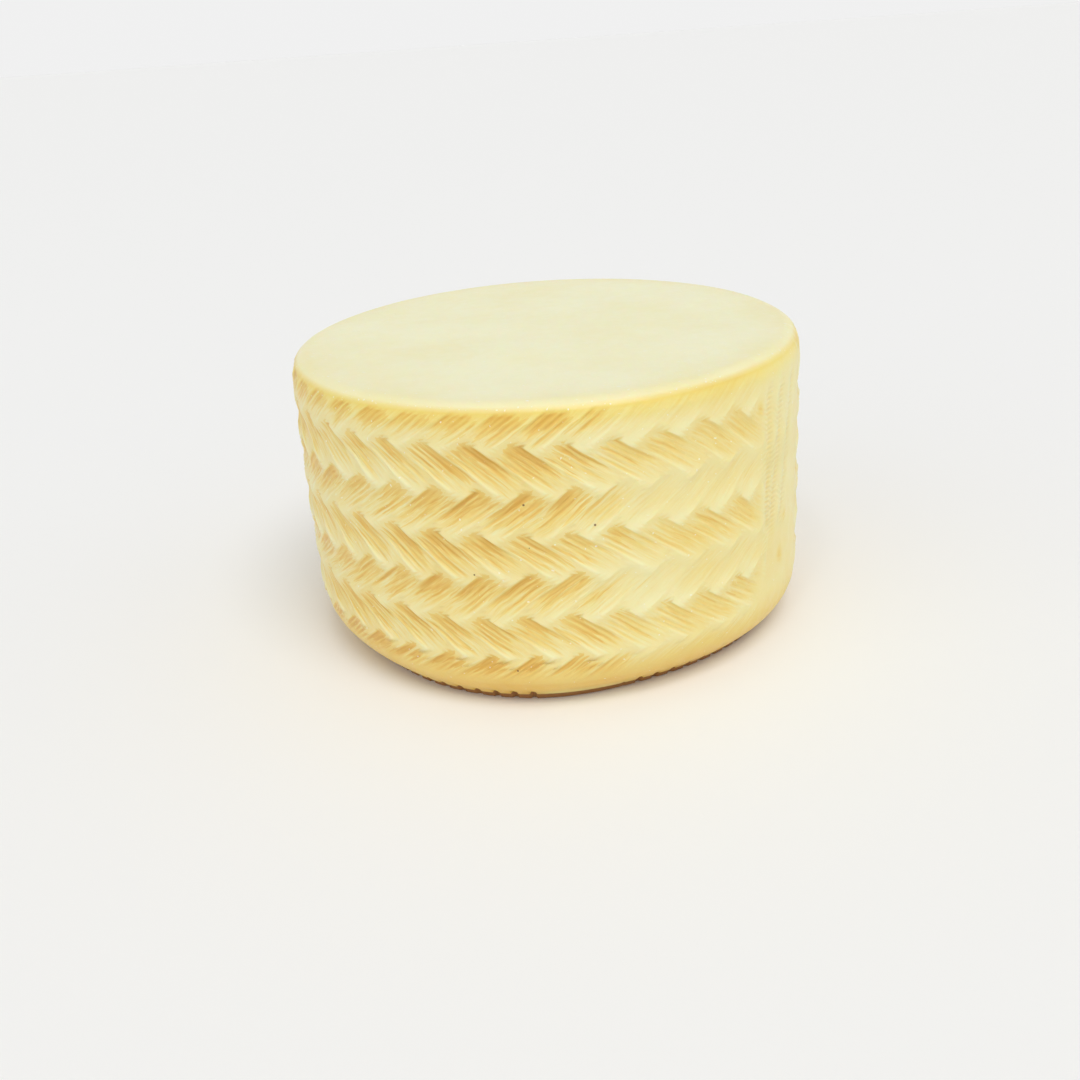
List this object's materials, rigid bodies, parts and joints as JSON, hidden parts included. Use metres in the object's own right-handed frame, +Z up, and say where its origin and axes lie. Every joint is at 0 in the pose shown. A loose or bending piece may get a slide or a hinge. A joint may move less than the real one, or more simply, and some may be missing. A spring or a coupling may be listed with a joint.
{
  "type": "cheese wheel",
  "caption": "Whole round wheel of pressed cheese with a plaited-belt print moulded into its wall, a smooth upright seam strip, and flat top and underside to rest on.",
  "frame": {"origin": "centre of the flat underside", "axes": "+Z up through the middle of the wheel; the front is at -Y, and the seam strip is to its right, towards +X"},
  "size_m": [0.191, 0.191, 0.1085],
  "materials": {
    "rind": "waxy, ivory on the flat faces and yellower in the grooves of the print"
  },
  "bodies": {
    "root": {"cheese_wheel": "rind"}
  },
  "joints": []
}
